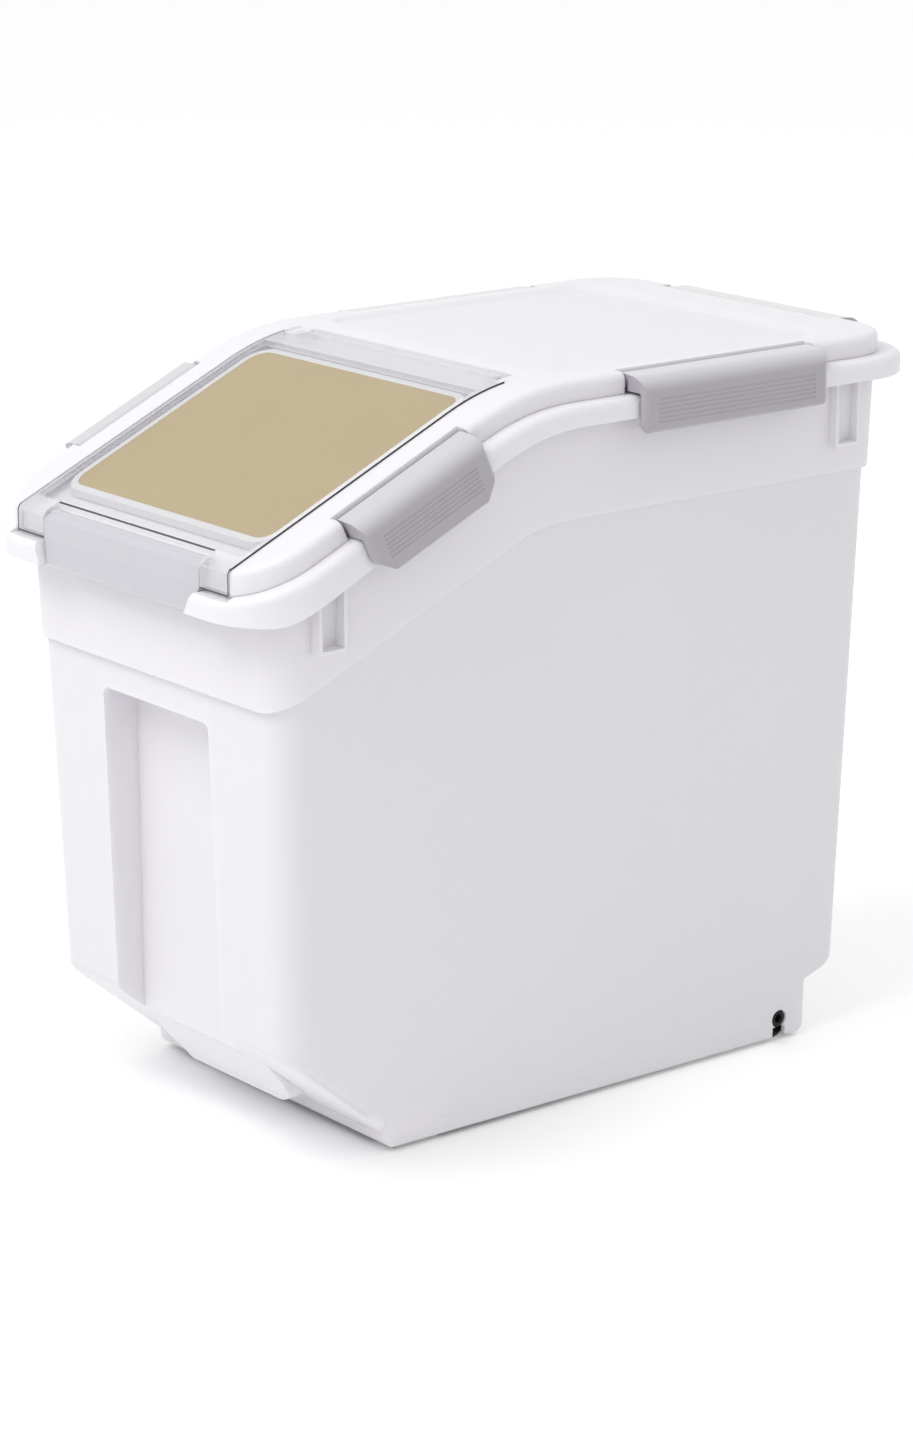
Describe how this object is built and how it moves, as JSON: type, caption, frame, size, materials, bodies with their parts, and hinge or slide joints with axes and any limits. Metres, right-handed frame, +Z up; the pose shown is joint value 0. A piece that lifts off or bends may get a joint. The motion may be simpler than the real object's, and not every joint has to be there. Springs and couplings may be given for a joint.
{
  "type": "ingredient bin",
  "caption": "Rolling ingredient bin: drafted tub with a sloping front, lid with a clear flip door over a dispensing opening, swing latches, rear wheels.",
  "frame": {"origin": "on the floor, under the middle of the bin's overall length and width", "axes": "+Z up, +Y from the front to the rear, +X to the right as seen from the front"},
  "size_m": [0.2364, 0.4008, 0.35],
  "materials": {
    "white_plastic": "satin",
    "clear_plastic": "clear",
    "tan_panel": "matt",
    "grey_plastic": "satin",
    "silicone": "matt",
    "steel": "drawn",
    "black_plastic": "satin",
    "foot_rubber": "matt"
  },
  "bodies": {
    "tub": {"tub": "white_plastic", "axle_left": "black_plastic", "axle_right": "black_plastic", "axle_clip_left": "steel", "axle_clip_right": "steel", "foot_pad_left": "foot_rubber", "foot_pad_right": "foot_rubber"},
    "lid": {"lid": "white_plastic", "lid_gasket": "silicone", "door_pin_left": "steel", "door_pin_right": "steel", "right_front_latch_pin": "steel", "right_rear_latch_pin": "steel", "left_front_latch_pin": "steel", "left_rear_latch_pin": "steel", "rear_latch_pin": "steel"},
    "door": {"door": "clear_plastic", "door_window": "tan_panel", "door_gasket": "silicone", "front_latch_pin": "steel"},
    "front_latch": {"front_latch": "grey_plastic"},
    "right_front_latch": {"right_front_latch": "grey_plastic"},
    "right_rear_latch": {"right_rear_latch": "grey_plastic"},
    "left_front_latch": {"left_front_latch": "grey_plastic"},
    "left_rear_latch": {"left_rear_latch": "grey_plastic"},
    "rear_latch": {"rear_latch": "grey_plastic"},
    "wheel_left": {"wheel_left": "black_plastic"},
    "wheel_right": {"wheel_right": "black_plastic"}
  },
  "joints": [
    {"name": "lid_lift", "type": "slide", "parent": "tub", "child": "lid", "axis": [0, 0, 1], "range_m": [0, 0.15]},
    {"name": "door_swing", "type": "hinge", "parent": "lid", "child": "door", "pos_m": [0, -0.0371, 0.34608], "axis": [-1, 0, 0], "range_deg": [0, 115]},
    {"name": "front_latch_swing", "type": "hinge", "parent": "door", "child": "front_latch", "pos_m": [0, -0.1889, 0.2834], "axis": [-1, 0, 0], "range_deg": [0, 95]},
    {"name": "right_front_latch_swing", "type": "hinge", "parent": "lid", "child": "right_front_latch", "pos_m": [0.1025, -0.1141, 0.31612], "axis": [0, -0.9107, -0.4131], "range_deg": [0, 95]},
    {"name": "right_rear_latch_swing", "type": "hinge", "parent": "lid", "child": "right_rear_latch", "pos_m": [0.1025, 0.0679, 0.346], "axis": [0, -1, 0], "range_deg": [0, 95]},
    {"name": "left_front_latch_swing", "type": "hinge", "parent": "lid", "child": "left_front_latch", "pos_m": [-0.1025, -0.1141, 0.31612], "axis": [0, 0.9107, 0.4131], "range_deg": [0, 95]},
    {"name": "left_rear_latch_swing", "type": "hinge", "parent": "lid", "child": "left_rear_latch", "pos_m": [-0.1025, 0.0679, 0.346], "axis": [0, 1, 0], "range_deg": [0, 95]},
    {"name": "rear_latch_swing", "type": "hinge", "parent": "lid", "child": "rear_latch", "pos_m": [0, 0.18065, 0.346], "axis": [1, 0, 0], "range_deg": [0, 95]},
    {"name": "wheel_left_roll", "type": "hinge", "parent": "tub", "child": "wheel_left", "pos_m": [-0.07992, 0.1254, 0.0115], "axis": [1, 0, 0], "continuous": true},
    {"name": "wheel_right_roll", "type": "hinge", "parent": "tub", "child": "wheel_right", "pos_m": [0.07992, 0.1254, 0.0115], "axis": [1, 0, 0], "continuous": true}
  ]
}
